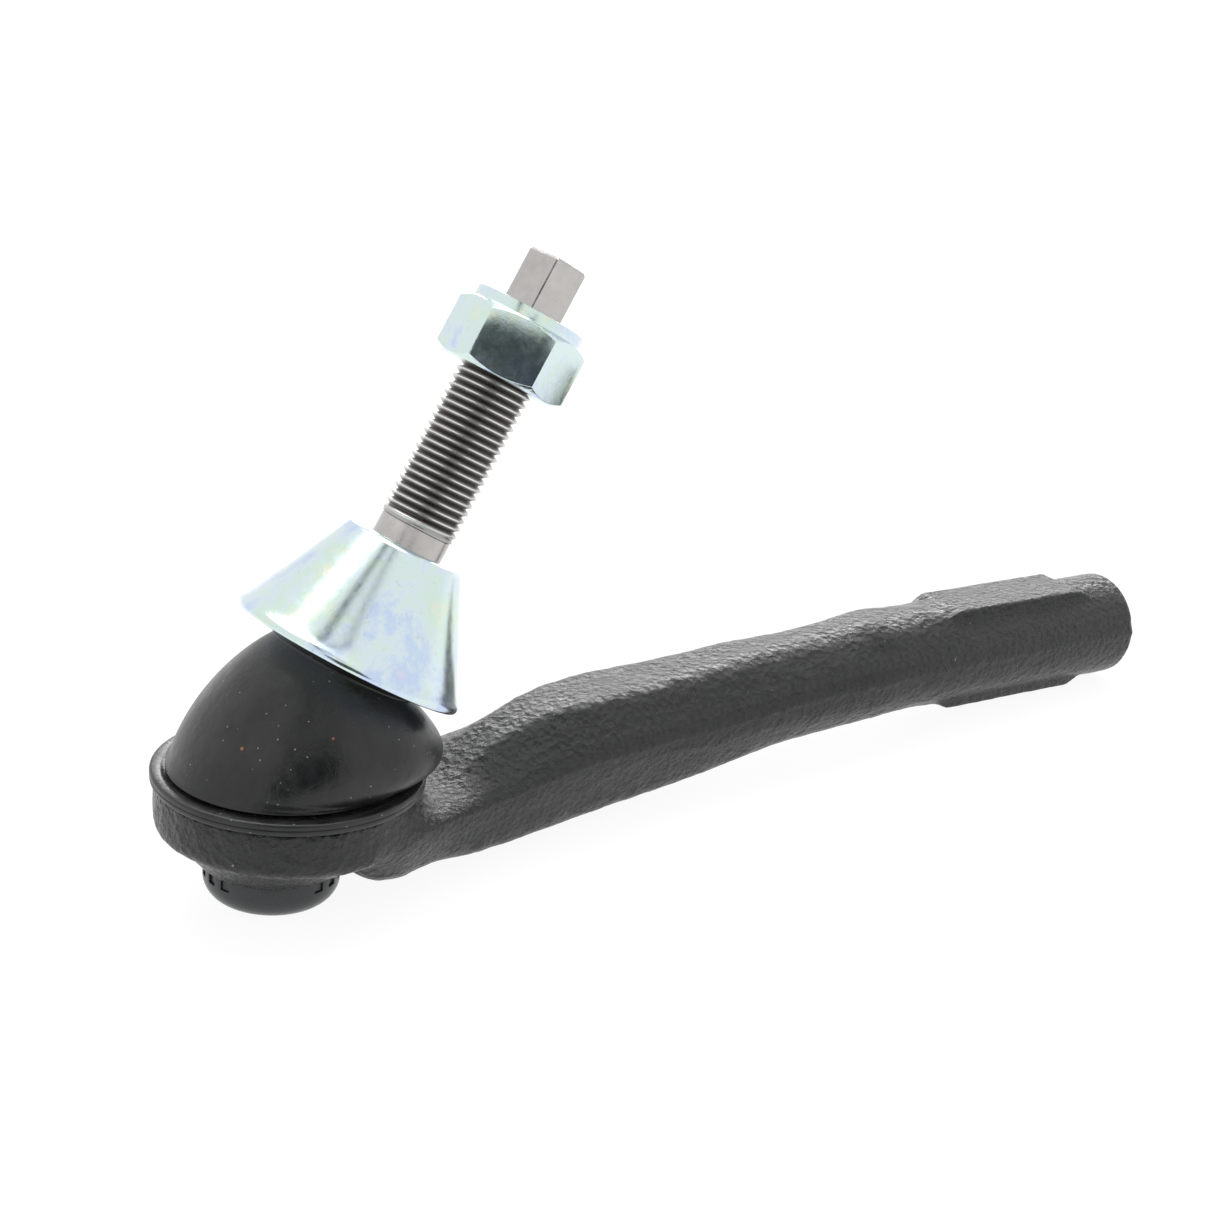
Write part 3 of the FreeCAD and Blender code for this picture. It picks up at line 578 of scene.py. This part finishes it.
# Turned bare steel: warm grey with fine rings round the axis and faint stains.
turned_steel, tree, shader = new_material("turned_bare_steel", {"Metallic": 1.0})
place = add(tree, "TexCoord").outputs["Object"]
stretched = add(tree, "Mapping", {"Vector": place, "Scale": (0.12, 0.12, 1.0)})
turning = add(tree, "TexNoise", {"Vector": stretched.outputs["Vector"], "Scale": 1 / (0.16 * MM),
                                 "Detail": 3.0})
stains = add(tree, "TexNoise", {"Vector": place, "Scale": 1 / (3.5 * MM), "Detail": 5.0, "Roughness": 0.65})
tone = add(tree, "Mix", {"Factor": stains.outputs["Fac"], "A": linear("#a5a3a1"), "B": linear("#cbc8c5")},
           data_type="RGBA")
tree.links.new(tone.outputs["Result"], shader.inputs["Base Color"])
gloss = add(tree, "MapRange", {"Value": stains.outputs["Fac"], "From Min": 0.3, "From Max": 0.7,
                               "To Min": 0.22, "To Max": 0.36})
tree.links.new(gloss.outputs["Result"], shader.inputs["Roughness"])
rings = add(tree, "Bump", {"Height": turning.outputs["Fac"], "Strength": 0.25, "Distance": 0.03 * MM})
tree.links.new(rings.outputs["Normal"], shader.inputs["Normal"])

ball_arc = []
for step in range(33):
    angle = math.radians(-90 + 150 * step / 32)
    ball_arc.append(Vector((ball_radius * math.cos(angle), ball_radius * math.sin(angle))))
ball_arc = [spot for spot in ball_arc if spot.x > NECK_RADIUS or spot.y < 0]
shank_outline = ball_arc + [Vector(spot) for spot in (
    (5.7, 11.6), (NECK_RADIUS, NECK_START), (NECK_RADIUS, NECK_END), (SHANK_RADIUS - 0.1, 17.7),
    (SHANK_RADIUS, SHANK_START), (SHANK_RADIUS, THREAD_START - 0.3),
    (SHANK_RADIUS - 0.35, THREAD_START + 0.2), (0.0, THREAD_START + 0.2))]
shank = finished("stud_ball_and_shank", lathe("stud_ball_and_shank", shank_outline, 96), turned_steel,
                 "stud", STUD_PLACE, sharp=35)
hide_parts("ball_stud")


def rolled_thread(around=96, rows_per_pitch=14):
    """A right-handed helix: each row of the net climbs one pitch in a turn, and its radius is set
    by where the row lies between root and crest. It runs out at the shank and is chamfered at
    the tip."""
    rows = int((THREAD_END - THREAD_START) / THREAD_PITCH + 1) * rows_per_pitch
    corners = []
    for row in range(-rows_per_pitch, rows + 1):
        share = (row % rows_per_pitch) / rows_per_pitch
        flank = abs(2 * share - 1)
        depth = THREAD_DEPTH * (1 - min(max((flank - 0.10) / 0.76, 0), 1))
        for step in range(around + 1):
            turn = step / around
            height = THREAD_START + (row / rows_per_pitch + turn) * THREAD_PITCH
            height = min(max(height, THREAD_START), THREAD_END)
            run_out = min(max((height - THREAD_START) / (1.2 * THREAD_PITCH), 0), 1)
            radius = THREAD_RADIUS - depth * run_out - (1 - run_out) * 0.3
            radius = min(radius, THREAD_RADIUS - (height - THREAD_END + 1.4) * 0.75)
            angle = 2 * math.pi * turn
            corners.append((radius * math.cos(angle) * MM, radius * math.sin(angle) * MM, height * MM))
    faces = []
    count = around + 1
    for row in range(rows + rows_per_pitch):
        for step in range(around):
            corner = row * count + step
            faces.append((corner, corner + 1, corner + count + 1, corner + count))
    mesh = bpy.data.meshes.new("stud_thread")
    mesh.from_pydata(corners, [], faces)
    form = bmesh.new()
    form.from_mesh(mesh)
    bmesh.ops.remove_doubles(form, verts=form.verts, dist=0.004 * MM)
    bmesh.ops.dissolve_degenerate(form, edges=form.edges, dist=0.002 * MM)
    open_edges = [edge for edge in form.edges if edge.is_boundary]
    bmesh.ops.edgeloop_fill(form, edges=open_edges)
    bmesh.ops.recalc_face_normals(form, faces=form.faces)
    form.to_mesh(mesh)
    form.free()
    return mesh


# Rolled thread, coloured by distance from the axis: roots darkened as painted shade, flanks grey, crests
# lighter as burnished wear and painted highlight, and a film of oil that shines unevenly.
thread_steel, tree, shader = new_material("rolled_thread_steel", {"Metallic": 1.0})
place = add(tree, "TexCoord").outputs["Object"]
across = add(tree, "Mapping", {"Vector": place, "Scale": (1.0, 1.0, 0.0)})
off_axis = add(tree, "VectorMath", {0: across.outputs["Vector"]}, operation="LENGTH")
# Painted shade darkens the thread roots, and a painted highlight over burnished wear lightens the crests.
crest_wear_and_root_shade = add(tree, "ValToRGB", {"Fac": add(tree, "MapRange", {
    "Value": off_axis.outputs["Value"], "From Min": (THREAD_RADIUS - THREAD_DEPTH) * MM,
    "From Max": THREAD_RADIUS * MM}).outputs["Result"]})
crest_wear_and_root_shade.color_ramp.elements[0].color = linear("#5c5a58")
crest_wear_and_root_shade.color_ramp.elements[1].color = linear("#dadada")
crest_wear_and_root_shade.color_ramp.elements.new(0.55).color = linear("#a3a09d")
tree.links.new(crest_wear_and_root_shade.outputs["Color"], shader.inputs["Base Color"])
oil = add(tree, "TexNoise", {"Vector": place, "Scale": 1 / (2.2 * MM), "Detail": 5.0, "Roughness": 0.65})
gloss = add(tree, "MapRange", {"Value": oil.outputs["Fac"], "From Min": 0.3, "From Max": 0.7,
                               "To Min": 0.26, "To Max": 0.38})
tree.links.new(gloss.outputs["Result"], shader.inputs["Roughness"])

thread = finished("stud_thread", rolled_thread(), thread_steel, "stud", STUD_PLACE, sharp=40)

# The square drive, milled on four sides, which leaves narrow turned strips at its corners.
DRIVE_FLATS, DRIVE_ROUND, DRIVE_TURN = 7.7, 10.6, math.radians(7)


def square_drive(levels=((THREAD_END - 0.4, 0.0), (stud_high - 0.55, 0.0), (stud_high - 0.1, 0.45),
                         (stud_high, 0.8))):
    """Stacked outlines of a square with round corner strips, drawn in at the tip."""
    half, round_radius = DRIVE_FLATS / 2, DRIVE_ROUND / 2
    spread = math.acos(half / round_radius)
    outline = []
    for quarter in range(4):
        for step in range(7):
            angle = quarter * math.pi / 2 + spread + (math.pi / 2 - 2 * spread) * step / 6
            outline.append((angle + DRIVE_TURN, round_radius))
    count = len(outline)
    corners = [((r - inset) * math.cos(a) * MM, (r - inset) * math.sin(a) * MM, height * MM)
               for height, inset in levels for a, r in outline]
    faces = [tuple(range(count))[::-1]]
    for level in range(len(levels) - 1):
        for index in range(count):
            here, after = level * count + index, level * count + (index + 1) % count
            faces.append((here, after, after + count, here + count))
    faces.append(tuple(range((len(levels) - 1) * count, len(levels) * count)))
    mesh = bpy.data.meshes.new("square_drive")
    mesh.from_pydata(corners, [], faces)
    return mesh


drive = finished("square_drive", square_drive(), turned_steel, "stud", STUD_PLACE, sharp=20)

# ---------------------------------------------------------------- cone collar
# The conical seat for the knuckle's taper: turned steel, pressed on the shank, then zinc plated
# and clear passivated.

# Bright zinc with a clear passivate: silver white with pale blue, lilac and yellow-green clouds,
# small dull stains and a fine grain.
zinc_plate, tree, shader = new_material("clear_passivated_zinc", {"Metallic": 1.0})
place = add(tree, "TexCoord").outputs["Object"]
clouds = add(tree, "TexNoise", {"Vector": place, "Scale": 1 / (11.0 * MM), "Detail": 7.0, "Roughness": 0.68,
                                "Distortion": 0.3})
tints = add(tree, "ValToRGB", {"Fac": clouds.outputs["Fac"]})
for stop, position, tint in zip(tints.color_ramp.elements, (0.28, 0.80), ("#dcd6e6", "#dfd3dd")):
    stop.position = position
    stop.color = linear(tint)
for position, tint in ((0.38, "#c3d4ee"), (0.48, "#d6e4ea"), (0.58, "#d2e6dc"), (0.68, "#e4e5cf")):
    tints.color_ramp.elements.new(position).color = linear(tint)
stains = add(tree, "TexNoise", {"Vector": place, "Scale": 1 / (1.4 * MM), "Detail": 6.0, "Roughness": 0.7})
stain_mask = add(tree, "MapRange", {"Value": stains.outputs["Fac"], "From Min": 0.60, "From Max": 0.78,
                                    "To Min": 0.0, "To Max": 0.35})
tone = add(tree, "Mix", {"Factor": stain_mask.outputs["Result"], "A": tints.outputs["Color"],
                         "B": linear("#8f9590")}, data_type="RGBA")
tree.links.new(tone.outputs["Result"], shader.inputs["Base Color"])
gloss = add(tree, "MapRange", {"Value": stains.outputs["Fac"], "From Min": 0.3, "From Max": 0.7,
                               "To Min": 0.12, "To Max": 0.24})
tree.links.new(gloss.outputs["Result"], shader.inputs["Roughness"])
grain = add(tree, "TexNoise", {"Vector": place, "Scale": 1 / (0.5 * MM), "Detail": 4.0, "Roughness": 0.6})
micro = add(tree, "Bump", {"Height": grain.outputs["Fac"], "Strength": 0.22, "Distance": 0.05 * MM})
soft = add(tree, "Bump", {"Height": stains.outputs["Fac"], "Strength": 0.12, "Distance": 0.10 * MM,
                          "Normal": micro.outputs["Normal"]})
tree.links.new(soft.outputs["Normal"], shader.inputs["Normal"])

cone_low, cone_high, cone_radius = along_stud("cone_collar")
CONE_TOP_RADIUS = 10.4
cone_mesh = lathe("cone_collar_plated", rounded([
    (SHANK_RADIUS + PRESS_GAP, cone_low, 0.2), (cone_radius - 0.3, cone_low, 0.3),
    (cone_radius, cone_low + 0.4, 0.3),
    (cone_radius, cone_low + 1.15, 0.5), (cone_radius - 1.1, cone_low + 2.6, 1.6),
    (CONE_TOP_RADIUS + 0.35, cone_high - 0.5, 0.5), (CONE_TOP_RADIUS - 0.5, cone_high, 0.35),
    (SHANK_RADIUS + 0.6, cone_high, 0.2), (SHANK_RADIUS + PRESS_GAP, cone_high - 0.6, 0.1)]), 192)
cone = finished("cone_collar_plated", cone_mesh, zinc_plate, "stud", STUD_PLACE, sharp=40)
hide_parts("cone_collar")

# ---------------------------------------------------------------- lock nut and its insert
# A 21 mm hexagon nut with chamfered corners and a round collar that holds a nylon locking ring.
# Plated like the cone.

# Natural nylon: milky and slightly glossy.
lock_nylon, tree, shader = new_material("natural_nylon", {"Roughness": 0.4, "IOR": 1.53,
                                                          "Subsurface Weight": 0.1})
milk = add(tree, "TexNoise", {"Vector": add(tree, "TexCoord").outputs["Object"], "Scale": 1 / (1.5 * MM),
                              "Detail": 3.0})
tone = add(tree, "Mix", {"Factor": milk.outputs["Fac"], "A": linear("#d9d8cf"), "B": linear("#efeee8")},
           data_type="RGBA")
tree.links.new(tone.outputs["Result"], shader.inputs["Base Color"])
insert = frame["nodes"]["nut_lock_ring"]
insert.data.materials.clear()
insert.data.materials.append(lock_nylon)

nut = finished("lock_nut_plated", eased("hex_nut", 0.22 * MM), zinc_plate, "nut", sharp=30)
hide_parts("hex_nut")
